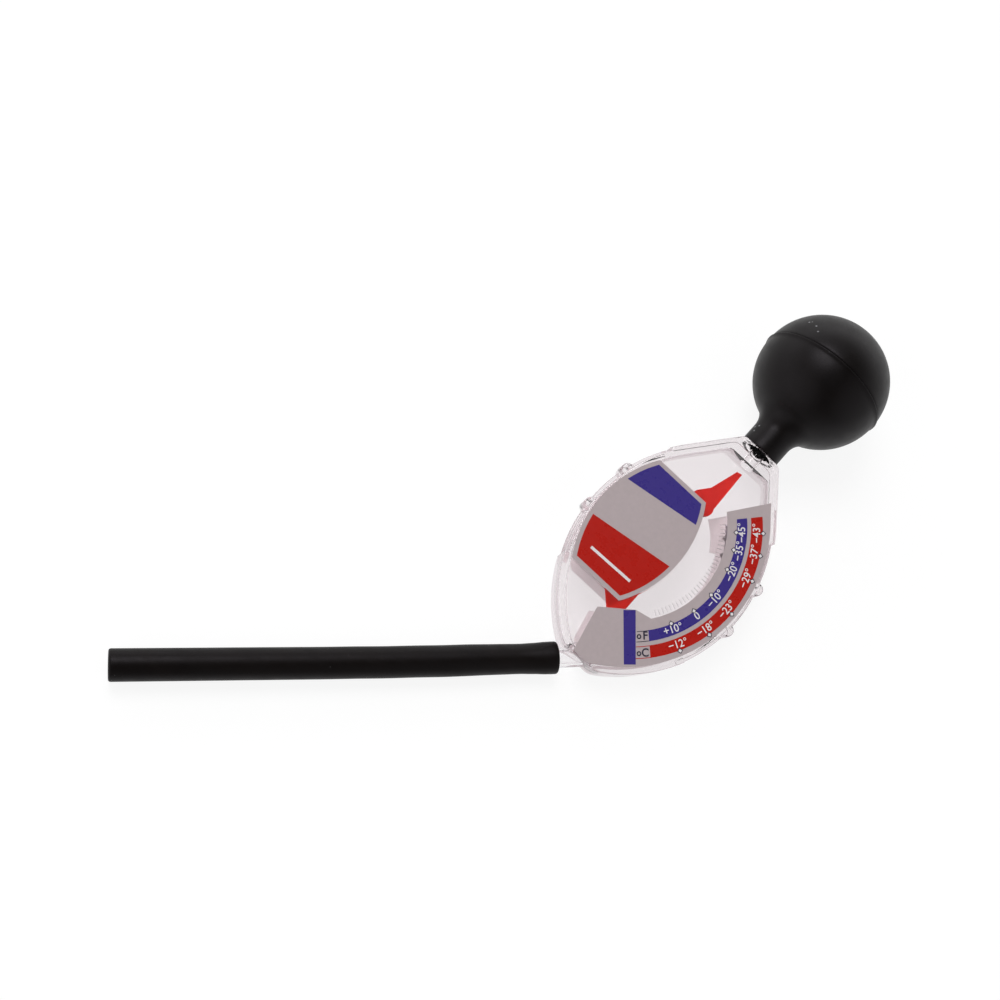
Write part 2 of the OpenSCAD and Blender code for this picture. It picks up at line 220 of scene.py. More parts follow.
finishes = {
    # the second colour of each clear finish is its tint seen edge on, partly painted shade
    "clear": clearFinish("clear_case", (0.93, 0.905, 0.913), (0.54, 0.45, 0.48), (0.985, 0.98, 0.982),
                         (0.01, 0.04), 1.2),
    "frost": clearFinish("frosted_ribs", (0.62, 0.58, 0.6), (0.5, 0.45, 0.47), (0.9, 0.88, 0.89),
                         (0.3, 0.4), 1.3),
    "tube": clearFinish("clear_tube", (0.96, 0.95, 0.955), (0.7, 0.66, 0.68), (0.94, 0.935, 0.94),
                        (0.02, 0.05), 1.2),
    "bulb": rubberFinish("bulb_rubber", (0.0014, 0.0008, 0.0004), 0.165, 0.015, (0.38, 0.46),
                         {"scale": 420, "size": 0.16, "patch": 60, "tone": (0.2, 0.2, 0.21)}),
    "hose": rubberFinish("hose_rubber", (0.0018, 0.001, 0.0005), 0.14, 0.008, (0.42, 0.52),
                         {"scale": 600, "size": 0.1, "patch": 90, "tone": (0.06, 0.06, 0.06)},
                         ((0, 0, math.radians(-44.6)), (0.08, 1, 1))),  # streaks along the hose
    "film": mottledFinish("label_film", (0.445, 0.377, 0.386), 0.03, (0.28, 0.38), 700, (0.05, 1e-5), 0.45),
    "filmBack": mottledFinish("label_back", (0.9, 0.82, 0.835), 0.015, (0.4, 0.5), 500, (0.05, 1e-5), 0.3),
    "blue": mottledFinish("blue_ink", (0.042, 0.028, 0.212), 0.025, (0.24, 0.34), 900, (0.03, 1e-5), 0.3),
    "red": mottledFinish("red_ink", (0.43, 0.009, 0.004), 0.025, (0.24, 0.34), 900, (0.03, 1e-5), 0.3),
    "pale": mottledFinish("pale_ink", (0.74, 0.71, 0.72), 0.03, (0.3, 0.4), 900, (0.05, 1e-5), 0.4),
    "dark": mottledFinish("dark_ink", (0.03, 0.026, 0.045), 0.1, (0.3, 0.4), 900, (0.05, 1e-5), 0.4),
    "pointer": mottledFinish("pointer_red", (0.64, 0.014, 0.009), 0.04, (0.4, 0.5), 260, (0.08, 2e-5), 0.2),
    # the carrier's red is brighter than the pointer's red: painted light that makes up for the shade the
    # title label casts on the carrier
    "carrier": mottledFinish("carrier_red_brightened", (0.95, 0.04, 0.028), 0.04, (0.4, 0.5), 260, (0.08, 2e-5), 0.2),
    "brass": mottledFinish("weight_brass", (0.75, 0.52, 0.2), 0.1, (0.25, 0.4), 800, (0.1, 1e-5)),
    "steel": mottledFinish("pin_steel", (0.6, 0.6, 0.62), 0.08, (0.2, 0.35), 900, (0.1, 1e-5)),
}
for metal in ("brass", "steel"):
    finishes[metal].node_tree.nodes["Principled BSDF"].inputs["Metallic"].default_value = 1
milky = {"finishes": ("filmBack", "carrier"), "share": 0.75, "bend": 1.05}  # lets some light through
for name in milky["finishes"]:
    sockets = finishes[name].node_tree.nodes["Principled BSDF"].inputs
    sockets["Transmission Weight"].default_value = milky["share"]
    sockets["IOR"].default_value = milky["bend"]
print("finishes made:", len(finishes))


# mesh helpers, in millimetres
def newPiece(name, points, faces, place, finish, smooth=35):
    mesh = bpy.data.meshes.new(name)
    mesh.from_pydata([Vector(p) * mm for p in points], [], faces)
    work = bmesh.new()
    work.from_mesh(mesh)
    bmesh.ops.remove_doubles(work, verts=work.verts, dist=2e-6)
    bmesh.ops.recalc_face_normals(work, faces=work.faces)
    work.to_mesh(mesh)
    work.free()
    piece = bpy.data.objects.new(name, mesh)
    scene.collection.objects.link(piece)
    piece.matrix_world = place
    shadeByAngle(mesh, smooth)
    if finish:
        mesh.materials.append(finish)
    return piece


def shadeByAngle(mesh, degrees):
    mesh.shade_smooth()
    mesh.set_sharp_from_angle(angle=math.radians(degrees))


def ridesOn(piece, body, slot, *stoodFor):
    piece.data.transform(piece.matrix_world)  # its box is then measured true, not tilted
    piece.matrix_world = Matrix.Identity(4)
    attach(piece, body)
    if stoodFor:
        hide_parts(*stoodFor)
    return piece


# closed skin through rings of the same number of points: the last joins the first, or both are capped
def loft(rings, loop=False):
    count = len(rings[0])
    points = [p for ring in rings for p in ring]
    faces = []
    for i in range(len(rings) if loop else len(rings) - 1):
        a, b = i * count, (i + 1) % len(rings) * count
        for k in range(count):
            n = (k + 1) % count
            faces.append((a + k, a + n, b + n, b + k))
    if not loop:
        faces.append(tuple(reversed(range(count))))
        faces.append(tuple(range(len(points) - count, len(points))))
    return points, faces


def circle(radius, count):
    turns = [2 * math.pi * k / count for k in range(count)]
    return [(radius * math.cos(a), radius * math.sin(a)) for a in turns]


# profile of (radius, height) about the y axis
def turned(profile, count, loop=True):
    return loft([[(x, y, z) for x, z in circle(r, count)] for r, y in profile], loop)


def atLevel(rim, z):
    return [(x, y, z) for x, y in rim]


def roundOver(radius, steps):
    return [(radius * (1 - math.cos(math.pi / 2 * i / steps)), radius * math.sin(math.pi / 2 * i / steps))
            for i in range(steps + 1)]


# flat shape with its upper edge eased: outline(inset) gives its points
def slab(outline, low, high, edge):
    rings = [atLevel(outline(0), low)]
    for inset, rise in roundOver(edge, 3) + [(edge * 1.6, edge)]:
        rings.append(atLevel(outline(inset), high - edge + rise))
    return loft(rings)


def carve(piece, tools, operation):
    for tool in tools:
        cut = piece.modifiers.new("cut", "BOOLEAN")
        cut.operation = operation
        cut.solver = "EXACT"
        cut.object = tool
    bpy.context.view_layer.update()
    shaped = bpy.data.meshes.new_from_object(piece.evaluated_get(bpy.context.evaluated_depsgraph_get()))
    piece.modifiers.clear()
    old, piece.data = piece.data, shaped
    bpy.data.meshes.remove(old)
    for tool in tools:
        bpy.data.objects.remove(tool)


# hose: black rubber tube, slightly stretched over the inlet
hose = {"radius": 4.75, "bore": 3.0, "sides": 40, "step": 2.0, "lip": 0.7, "boreLip": 0.25,
        "swell": ((0, 4.95), (3, 4.95), (7, 4.72), (12, 4.55), (18, 4.62), (30, 4.75), (132, 4.75)),
        "route": ((-4.6, -69.7, 5.3), (-10.8, -75.9, 4.8), (-17, -82.1, 4.8), (-23.2, -88.3, 4.8),
                  (-29.4, -94.6, 4.8), (-35.7, -100.8, 4.8), (-42, -107.1, 4.8), (-48.3, -113.2, 4.8),
                  (-54.6, -119.4, 4.8), (-60.9, -125.5, 4.8), (-67.2, -131.6, 4.8), (-73.5, -137.7, 4.8),
                  (-79.9, -143.9, 4.8), (-86.2, -150, 4.8), (-92.6, -156.2, 4.8), (-98.9, -162.3, 4.8))}


def smoothRoute(points, step):
    pts = [Vector(p) for p in points]
    pts = [2 * pts[0] - pts[1]] + pts + [2 * pts[-1] - pts[-2]]
    fine = []
    for a, b, c, d in zip(pts, pts[1:], pts[2:], pts[3:]):
        parts = max(2, round((c - b).length / step))
        for i in range(parts):
            t = i / parts
            fine.append(0.5 * (2 * b + (c - a) * t + (2 * a - 5 * b + 4 * c - d) * t * t
                               + (3 * b - a - 3 * c + d) * t ** 3))
    return fine + [pts[-2]]


def between(table, at):
    for (a, va), (b, vb) in zip(table, table[1:]):
        if at <= b:
            t = max(0, (at - a) / (b - a))
            t = t * t * (3 - 2 * t)
            return va + (vb - va) * t
    return table[-1][1]


def makeHose():
    line = smoothRoute(hose["route"], hose["step"])
    run = [0.0]
    for a, b in zip(line, line[1:]):
        run.append(run[-1] + (b - a).length)
    frames = []
    for i, p in enumerate(line):
        along = (line[min(i + 1, len(line) - 1)] - line[max(i - 1, 0)]).normalized()
        across = along.cross(Vector((0, 0, 1))).normalized()
        frames.append((p, across, across.cross(along), along))

    def ring(i, radius, push=0.0):
        p, across, up, along = frames[i]
        return [p + along * push + across * x + up * y for x, y in circle(radius, hose["sides"])]

    last = len(line) - 1
    lip, bore, boreLip = hose["lip"], hose["bore"], hose["boreLip"]
    rings = []
    outer = [between(hose["swell"], s) for s in run]
    for inset, rise in reversed(roundOver(lip, 4)):  # cut end at the inlet
        rings.append(ring(0, outer[0] - inset, lip - rise))
    rings += [ring(i, outer[i]) for i in range(1, last)]
    for inset, rise in roundOver(lip, 4):  # open end
        rings.append(ring(last, outer[last] - inset, rise - lip))
    rings.append(ring(last, bore + boreLip))
    rings.append(ring(last, bore, -boreLip))
    rings += [ring(i, bore) for i in range(last - 1, 0, -1)]
    rings.append(ring(0, bore, boreLip))
    rings.append(ring(0, bore + boreLip))
    points, faces = loft(rings, loop=True)
    tube = newPiece("hose_tube", points, faces, Matrix.Identity(4), finishes["hose"], 60)
    ridesOn(tube, "case", "hose_rubber", "hose")
    print("hose laid: %.1f mm" % run[-1])


makeHose()


# case: two clear shells that meet at z = 0
case = {"top": 46, "bottom": -42.2, "width": 59.2, "sideRadius": 50, "neckFace": 14.4, "face": 5.98,
        "weld": 0.01, "step": 1.1, "stepUpper": 26.3, "stepLower": -21.2, "stepRun": 0.5, "wall": 1.5,
        "flange": 1, "flangeEase": 0.18, "edge": 0.55, "corner": 1.3, "flat": 0.5, "pointGap": 0.6,
        "lugRadius": 2, "lugOut": 1.19, "lugs": (12, -4), "lugTop": 4.5,
        "lugEase": ((0.6, 0), (0.25, 0.12), (0.06, 0.32), (0, 0.6)),  # drop below the top, inset
        "chamberTop": 40.5, "chamberEdge": 0.9}
arcX = case["sideRadius"] - case["width"] / 2
shoulder = (math.atan2(case["top"], case["neckFace"] / 2 + arcX)
            - math.acos(case["sideRadius"] / math.hypot(case["neckFace"] / 2 + arcX, case["top"])))


def sideX(y, inset):
    reach = case["sideRadius"] - inset
    if y < reach * math.sin(shoulder):
        return math.sqrt(reach * reach - y * y) - arcX
    return (reach - y * math.sin(shoulder)) / math.cos(shoulder) - arcX


# 1 on the slimmer middle of the sides, 0 on the thick ends
def slimming(y):
    run = case["stepRun"]
    up = min(1, max(0, (y - case["stepLower"]) / run))
    down = min(1, max(0, (case["stepUpper"] - y) / run))
    return min(up, down)


def sideHeights():
    low, high = case["bottom"] + case["corner"], case["top"] - case["corner"]
    count = round((high - low) / case["pointGap"])
    heights = {round(low + (high - low) * i / count, 3) for i in range(count + 1)}
    for y in case["lugs"]:
        heights |= {round(y + case["lugRadius"] * math.sin(math.radians(a)), 3) for a in range(-84, 85, 6)}
    for y, way in ((case["stepLower"], 1), (case["stepUpper"], -1)):
        heights |= {round(y + way * case["stepRun"] * t / 4, 3) for t in range(5)}
    return sorted(heights)


heights = sideHeights()


# closed line of points around the case, always the same number
def caseRim(inset, low, high, lugRadius=0.0):
    corner = case["corner"]

    def widthAt(y):
        return sideX(y, inset(y))

    def corners(y, way):
        a = Vector((widthAt(y + way * corner), y + way * corner))
        c = Vector((widthAt(y), y))
        b = Vector((widthAt(y) - corner, y))
        return [(1 - t) ** 2 * a + 2 * t * (1 - t) * c + t * t * b for t in (0.2, 0.4, 0.6, 0.8, 1)]

    right = [tuple(p) for p in reversed(corners(low, 1))]
    for h in heights:
        t = (h - heights[0]) / (heights[-1] - heights[0])
        y = low + corner + t * (high - low - 2 * corner)
        x = widthAt(y)
        for lug in case["lugs"]:
            if lugRadius and abs(y - lug) < lugRadius:
                middle = sideX(lug, 0) + case["lugOut"] - case["lugRadius"]
                x = max(x, middle + math.sqrt(lugRadius ** 2 - (y - lug) ** 2))
        right.append((x, y))
    right += [tuple(p) for p in corners(high, -1)]
    return right + [(-x, y) for x, y in reversed(right)]


def shellSkin():
    low, high, lug = case["bottom"], case["top"], case["lugRadius"]
    step, edge, face, flat = case["step"], case["edge"], case["face"], case["flat"]

    def flange(y):
        return 0.0

    def flangeEdge(y):
        return case["flangeEase"] * slimming(y)

    def body(y):
        return step * slimming(y)

    outside = [(case["weld"], caseRim(flange, low, high, lug)),
               (case["flange"] - case["flangeEase"], caseRim(flange, low, high, lug)),
               (case["flange"], caseRim(flangeEdge, low, high, lug)),
               (case["flange"], caseRim(body, low, high, lug))]
    for drop, inset in case["lugEase"]:
        outside.append((case["lugTop"] - drop, caseRim(body, low, high, lug - inset)))
    outside.append((case["lugTop"], caseRim(body, low, high)))
    for inset, rise in roundOver(edge, 4) + [(edge + flat, edge)]:
        rim = caseRim(lambda y, inset=inset: body(y) + inset, low + inset, high - inset)
        outside.append((face - edge + rise, rim))
    wallInset = step + case["wall"]
    ceiling = face - case["wall"]
    chamberLow, chamberHigh, bend = low + case["wall"], case["chamberTop"], case["chamberEdge"]
    inside = [(case["weld"], caseRim(lambda y: wallInset, chamberLow, chamberHigh))]
    for inset, rise in roundOver(bend, 4) + [(bend + flat, bend)]:
        rim = caseRim(lambda y, inset=inset: wallInset + inset, chamberLow + inset, chamberHigh - inset)
        inside.append((ceiling - bend + rise, rim))
    rings = [atLevel(rim, z) for z, rim in reversed(inside)] + [atLevel(rim, z) for z, rim in outside]
    return loft(rings)


# shapes that are joined to a shell or cut out of it
def newTool(points, faces):
    return newPiece("tool", points, faces, caseToFloor, None)


def rod(radius, start, end, count=64):
    a, b = Vector(start), Vector(end)
    turn = (b - a).to_track_quat("Z", "X")
    return newTool(*loft([[p + turn @ Vector((x, y, 0)) for x, y in circle(radius, count)] for p in (a, b)]))


# half of the round stub that the bulb's neck is pushed over, with its foot relieved on the rear half
stub = {"radius": 4.7, "rise": 8, "root": 1, "ease": 0.4, "relief": 3.3, "reliefRise": (0.25, 0.3),
        "passage": 2.5}


def halfStub(foot, count=32):
    top, end = case["top"], case["top"] + stub["rise"]
    reliefLow, reliefHigh = stub["reliefRise"]
    turns = [math.pi * k / count for k in range(count + 1)]
    rings = []
    for r, y in ((foot, top - stub["root"]), (foot, top + reliefLow), (stub["radius"], top + reliefHigh),
                 (stub["radius"], end - stub["ease"]), (stub["radius"] - stub["ease"], end)):
        rings.append([(r * math.cos(a), y, max(case["weld"], r * math.sin(a))) for a in turns])
    return newTool(*loft(rings))


inlet = {"x": -0.8, "degrees": 225, "tube": 3.0, "bore": 2.0, "ease": 0.3, "inside": 8, "outside": 11.6,
         "boss": 4.4, "bossOut": 6, "bossShy": 0.3, "seat": 0.05, "seatOut": 8, "overrun": 1}
inletTurn = math.radians(inlet["degrees"])
inletWay = Vector((math.cos(inletTurn), math.sin(inletTurn), 0))
inletStart = Vector((inlet["x"], case["bottom"], 0))

title = {"length": 41.8, "endWidth": 19.4, "midWidth": 31.4, "drop": 0.4, "face": 6.5,
         "padEdge": 0.3, "padTop": 6.28, "padRoot": 0.7, "padEase": 0.15, "border": 1.35, "borderBack": 4.8,
         "blueLine": ((-13.1, 8.9), (12.0, 13.0)), "redLine": ((-13.6, -6.8), (14.3, -2.5)),
         "bar": ((-7.5, -14.9), (8.3, -14.5)), "barWide": 0.9, "ink": 0.02}
titleSag = (title["midWidth"] - title["endWidth"]) / 2
titleRadius = ((title["length"] / 2) ** 2 + titleSag ** 2) / (2 * titleSag)


def titleHalf(y, grow):
    return math.sqrt((titleRadius + grow) ** 2 - y * y) - titleRadius + title["midWidth"] / 2


# shield around the pivot, with straight ends
def titleRim(grow, count=48):
    tall = title["length"] / 2 + grow
    right = []
    for i in range(count + 1):
        y = -tall + 2 * tall * i / count
        right.append((titleHalf(y, grow), y - title["drop"]))
    return right + [(-x, y) for x, y in reversed(right)]


# graduation ribs on the front face, in an arc beside the scale
ribs = {"count": 31, "from": -33, "to": 40, "long": 1.8, "wide": 0.35, "gap": 0.5, "radius": 31.2,
        "shift": 4.5,
        "profile": ((-0.3, 1), (0.06, 1), (0.18, 0.55)),  # height above the face, share of the width
        "endEase": 0.1, "slack": 0.05, "above": 0.02}
ribMiddle = Vector((leanBack["pivotX"] - ribs["shift"], 0, case["face"]))
ribFar = ribs["radius"] - ribs["gap"]
ribNear = ribFar - ribs["long"]


def ribTools():
    points, faces = [], []
    for i in range(ribs["count"]):
        a = math.radians(ribs["from"] + i * (ribs["to"] - ribs["from"]) / (ribs["count"] - 1))
        u, v = Vector((math.cos(a), math.sin(a), 0)), Vector((-math.sin(a), math.cos(a), 0))
        rings = []
        for z, slim in ribs["profile"]:
            half, cut = ribs["wide"] / 2 * slim, ribs["endEase"] * (1 - slim)
            near, far = ribNear + cut, ribFar - cut
            rings.append([ribMiddle + u * r + v * t + Vector((0, 0, z))
                          for r, t in ((near, -half), (far, -half), (far, half), (near, half))])
        p, f = loft(rings)
        faces += [tuple(k + len(points) for k in face) for face in f]
        points += p
    return newTool(points, faces)


def frostRibs(mesh):
    mesh.materials.append(finishes["frost"])
    for face in mesh.polygons:
        spot = face.center / mm
        reach = (spot.xy - ribMiddle.xy).length
        inArc = ribNear - ribs["slack"] < reach < ribFar + ribs["slack"]
        if inArc and spot.z > case["face"] + ribs["above"]:
            face.material_index = 1


# posts inside the shells: seats for the pin, the pivot's boss and a peg, all rooted in the wall
posts = {"root": 5.2, "seat": 2.6, "seatFront": 3.1, "seatRear": 1.0, "boss": 4.5, "peg": 1.6,
         "pegAt": (11.4, -19), "foot": 2.3}


def makeShell(name, node, side):
    shell = newPiece(name, *shellSkin(), caseToFloor, None)
    px, root, foot = leanBack["pivotX"], posts["root"], posts["foot"]
    pad = slab(lambda inset: [(x + px, y) for x, y in titleRim(title["padEdge"] - inset)],
               case["face"] - title["padRoot"], title["padTop"], title["padEase"])
    boss = rod(inlet["boss"], inletStart - inletWay * inlet["inside"],
               inletStart + inletWay * inlet["bossOut"])
    bossRim = caseRim(lambda y: case["step"], case["bottom"] + inlet["bossShy"], case["top"])
    bossLevels = (case["weld"], case["face"] - inlet["bossShy"])
    carve(boss, [newTool(*loft([atLevel(bossRim, z) for z in bossLevels]))], "INTERSECT")
    added = [newTool(*pad), boss, halfStub(stub["radius"] if side > 0 else stub["relief"])]
    if side > 0:
        added.append(rod(posts["seat"], (px, 0, posts["seatFront"]), (px, 0, root)))
        added.append(ribTools())
    else:
        pegX, pegY = px + posts["pegAt"][0], posts["pegAt"][1]
        added.append(rod(posts["boss"], (px, 0, foot), (px, 0, root)))
        added.append(rod(posts["seat"], (px, 0, posts["seatRear"]), (px, 0, root)))
        added.append(rod(posts["peg"], (pegX, pegY, foot), (pegX, pegY, root)))
    carve(shell, added, "UNION")
    over = inlet["overrun"]
    passage = rod(stub["passage"], (0, case["chamberTop"] - over, 0),
                  (0, case["top"] + stub["rise"] + over, 0))
    tubeSeat = rod(inlet["tube"] + inlet["seat"], inletStart - inletWay * (inlet["inside"] + over),
                   inletStart + inletWay * inlet["seatOut"])
    carve(shell, [passage, tubeSeat], "DIFFERENCE")
    if side < 0:
        shell.data.transform(Matrix.Scale(-1, 4, (0, 0, 1)))
        shell.data.flip_normals()
    shell.data.materials.clear()
    shell.data.materials.append(finishes["clear"])
    shadeByAngle(shell.data, 32)
    if side > 0:
        frostRibs(shell.data)
    ridesOn(shell, "case", "clear_plastic", node)
    print(name, "moulded:", len(shell.data.polygons), "faces")


makeShell("clear_front", "front_shell", 1)
makeShell("clear_rear", "rear_shell", -1)


# inlet tube
def makeTube():
    r, bore, ease = inlet["tube"], inlet["bore"], inlet["ease"]
    low, high = -inlet["inside"], inlet["outside"]
    profile = [(bore, low + ease), (bore + ease, low), (r - ease, low), (r, low + ease),
               (r, high - ease), (r - ease, high), (bore + ease, high), (bore, high - ease)]
    points, faces = turned(profile, 64)
    turn = Vector((0, 1, 0)).rotation_difference(inletWay).to_matrix()
    points = [inletStart + turn @ Vector(p) for p in points]
    tube = newPiece("inlet_clear", points, faces, caseToFloor, finishes["tube"])
    ridesOn(tube, "case", "clear_plastic", "inlet_tube")
    print("inlet tube made")


makeTube()


# bulb: one moulding, shown as the half with the neck and the half beyond the seam
bulb = {"radius": 21.75, "ridge": 0.4, "centre": 79.1, "wall": 2, "neck": 6.8, "sweep": 8, "bore": 4.75,
        "top": 46, "mouth": 0.2, "lip": ((0.4, 0), (0.1, 0.12), (0, 0.45)),  # inset, rise
        "seam": 0.35, "squeeze": 12, "sides": 128, "nearPole": 89.7,
        # shares of the ridge's height or the groove's depth, each with its distance in seams
        "ridgeShape": ((0, 5), (0.08, 3.6), (0.3, 2.4), (0.7, 1.4), (0.95, 0.8), (1, 0.4), (0.85, 0.1),
                       (0.6, 0)),
        "groove": 0.45, "grooveShape": ((1, 0), (0.9, 0.5), (0.45, 1.1), (0.1, 1.8), (0, 2.4))}


def ballPoint(radius, degrees):
    a = math.radians(degrees)
    return (radius * math.cos(a), bulb["centre"] + radius * math.sin(a))


def makeBulb():
    r, c = bulb["radius"], bulb["centre"]
    sweepX = bulb["neck"] + bulb["sweep"]
    sweepY = c - math.sqrt((r + bulb["sweep"]) ** 2 - sweepX ** 2)
    meet = math.degrees(math.atan2(sweepY - c, sweepX))
    inner = r - bulb["wall"]
    seamDip = math.degrees(bulb["seam"] / r)
    mouth, bore, neck, top = bulb["mouth"], bulb["bore"], bulb["neck"], bulb["top"]
    neckSide = [(bore, top + mouth), (bore + mouth, top)]
    neckSide += [(neck - inset, top + rise) for inset, rise in bulb["lip"]]
    lipTop = neckSide[-1][1]
    neckSide += [(neck, lipTop + (sweepY - lipTop) * i / 4) for i in range(1, 4)]
    for i in range(15):
        turn = math.pi + math.radians(meet) * i / 14
        neckSide.append((sweepX + bulb["sweep"] * math.cos(turn), sweepY + bulb["sweep"] * math.sin(turn)))
    ridgeFoot = -seamDip * bulb["ridgeShape"][0][1]
    neckSide += [ballPoint(r, meet + (ridgeFoot - meet) * i / 40) for i in range(1, 40)]
    neckSide += [ballPoint(r + bulb["ridge"] * s, -seamDip * d) for s, d in bulb["ridgeShape"]]
    floorAngle = -math.degrees(math.acos(bore / inner))
    neckSide += [ballPoint(inner, floorAngle * i / 20) for i in range(21)]
    half = newPiece("bulb_neck_half", *turned(neckSide, bulb["sides"]), caseToFloor, finishes["bulb"], 40)
    ridesOn(half, "case", "bulb_rubber", "bulb")
    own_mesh(half)
    pole, grooveTop = bulb["nearPole"], seamDip * bulb["grooveShape"][-1][1]
    crown = [ballPoint(inner, pole * (1 - i / 24)) for i in range(25)]  # inside from the pole, then outside
    crown += [ballPoint(r - bulb["groove"] * s, seamDip * d) for s, d in bulb["grooveShape"]]
    crown += [ballPoint(r, grooveTop + (pole - grooveTop) * i / 44) for i in range(1, 45)]
    outer = newPiece("bulb_crown_half", *turned(crown, bulb["sides"], loop=False), caseToFloor,
                     finishes["bulb"], 40)
    ridesOn(outer, "bulb_crown", "bulb_rubber", "bulb_crown")
    print("bulb made, squeezes by", bulb["squeeze"], "mm")


makeBulb()


# finishes of the CAD pieces that stay
keptPieces = {"pointer": "pointer", "pointer_weight": "brass", "pivot_pin": "steel",
              "pivot_carrier": "carrier", "front_scale_label": "film", "front_title_label": "film",
              "rear_scale_label": "filmBack", "rear_title_label": "filmBack"}
for node, finish in keptPieces.items():
    mesh = cadNodes[node].data
    mesh.materials.clear()
    mesh.materials.append(finishes[finish])
    mesh.polygons.foreach_set("material_index", [0] * len(mesh.polygons))
print("finishes put on", len(keptPieces), "CAD pieces")


# print on the labels: thin films of ink, joined into one piece for each colour
scale = {"centre": (-4.5, -0.25), "blue": (34.35, 37.7), "red": (38.95, 42.7), "from": -44.2, "to": 49.2,
         "face": 6.2, "ink": 0.02, "digit": 3.35, "digitWide": 0.95, "bold": 0.03,
         "diamond": 0.95, "diamondIn": 0.6, "diamondOut": 0.15,
         "marks": ((-30.2, "+10°", "−12°"), (-14.5, "0", "−18°"), (0, "−10°", "−23°"),
                   (18.5, "−20°", "−29°"), (31, "−35°", "−37°"), (41.5, "−45°", "−43°")),
         "bar": ((12.6, -22.4), (23.6, -34.7), (26.3, -32.2), (15.4, -19.8)), "boxTo": -50.8, "boxLine": 0.22,
         "units": ((22.5, -23.9, "F"), (25.9, -27.8, "C")), "unitBold": 0.08,
         "ring": 2.9, "ringShift": -1.6, "letter": 3.5, "letterShift": 0.35}


# point at a direction from the pivot, on an arc about the scale's own centre
def onArc(radius, degrees):
    a = math.radians(degrees)
    ray = Vector((math.cos(a), math.sin(a)))
    c = Vector(scale["centre"])
    b = ray.dot(c)
    return ray * (b + math.sqrt(b * b - c.dot(c) + radius * radius))


def arcBand(inner, outer, start, end, count=48):
    angles = [start + (end - start) * i / count for i in range(count + 1)]
    return [tuple(onArc(outer, a)) for a in angles] + [tuple(onArc(inner, a)) for a in reversed(angles)]


def quad(middle, degrees, halfLong, halfWide):
    a = math.radians(degrees)
    u, v = Vector((math.cos(a), math.sin(a))), Vector((-math.sin(a), math.cos(a)))
    m = Vector(middle)
    return [tuple(m + u * halfLong * s + v * halfWide * t) for s, t in ((-1, -1), (1, -1), (1, 1), (-1, 1))]


def diamond(middle, degrees, half):
    side = half * math.sqrt(0.5)
    return quad(middle, degrees + 45, side, side)


# gathers outlines and words of one colour
class InkSheet:
    def __init__(self):
        self.points, self.faces = [], []

    def add(self, points, faces):
        start = len(self.points)
        self.points += [tuple(p) for p in points]
        self.faces += [tuple(start + k for k in f) for f in faces]

    def shape(self, outline, low, thick):
        self.add(*loft([atLevel(outline, z) for z in (low, low + thick)]))

    def words(self, text, middle, degrees, size, wide, bold, low, thick):
        data = bpy.data.curves.new("words", "FONT")
        data.body = text
        data.align_x, data.align_y = "CENTER", "CENTER"
        data.size = size
        data.offset = bold
        data.resolution_u = 5
        data.extrude = thick / 2
        letters = bpy.data.objects.new("words", data)
        scene.collection.objects.link(letters)
        bpy.context.view_layer.update()
        mesh = bpy.data.meshes.new_from_object(letters.evaluated_get(bpy.context.evaluated_depsgraph_get()))
        place = (Matrix.Translation((*middle, low + thick / 2))
                 @ Matrix.Rotation(math.radians(degrees), 4, "Z") @ Matrix.Diagonal((wide, 1, 1, 1)))
        self.add([place @ v.co for v in mesh.vertices], [tuple(p.vertices) for p in mesh.polygons])
        bpy.data.objects.remove(letters)
        bpy.data.curves.remove(data)
        bpy.data.meshes.remove(mesh)

    def press(self, name, tone, slot, behind):
        side = -1 if behind else 1
        points = [(x, y, side * z) for x, y, z in self.points]
        piece = newPiece(name + "_" + tone, points, self.faces, pivotToFloor, finishes[tone], 30)
        ridesOn(piece, "case", slot)


def printScale(name, behind):
    face, ink = scale["face"], scale["ink"]
    blue, red, pale, dark = InkSheet(), InkSheet(), InkSheet(), InkSheet()
    blue.shape(arcBand(*scale["blue"], scale["from"], scale["to"]), face, ink)
    red.shape(arcBand(*scale["red"], scale["from"], scale["to"]), face, ink)
    blue.shape(scale["bar"], face, ink)
    wide = -scale["digitWide"] if behind else scale["digitWide"]
    for x, y, text in scale["units"]:
        turn = math.degrees(math.atan2(y, x)) + 90
        along = Vector((math.cos(math.radians(turn)), math.sin(math.radians(turn))))
        for sign, size, shift in (("o", scale["ring"], scale["ringShift"]),
                                  (text, scale["letter"], scale["letterShift"])):
            dark.words(sign, Vector((x, y)) + along * shift, turn, size, wide, scale["unitBold"], face, ink)
    blueSpot, redSpot = scale["blue"][0] - scale["diamondOut"], scale["red"][1] + scale["diamondOut"]
    for degrees, blueText, redText in scale["marks"]:
        for band, text, reach in ((scale["blue"], blueText, blueSpot), (scale["red"], redText, redSpot)):
            middle = onArc((band[0] + band[1]) / 2, degrees)
            pale.words(text, middle, degrees + 90, scale["digit"], wide, scale["bold"], face + ink, ink)
            spot = onArc(reach, degrees)
            dark.shape(diamond(spot, degrees, scale["diamond"]), face + ink, ink)
            pale.shape(diamond(spot, degrees, scale["diamondIn"]), face + 2 * ink, ink)
    line = scale["boxLine"]
    for band, sheet in ((scale["blue"], dark), (scale["red"], red)):
        for inner in (band[0], band[1] - line):
            sheet.shape(arcBand(inner, inner + line, scale["boxTo"], scale["from"], 8), face, ink)
    for sheet, tone in ((blue, "blue"), (red, "red"), (pale, "pale"), (dark, "dark")):
        sheet.press(name, tone, "scale_print", behind)


printScale("front_scale", False)
printScale("rear_scale", True)
print("scales printed")


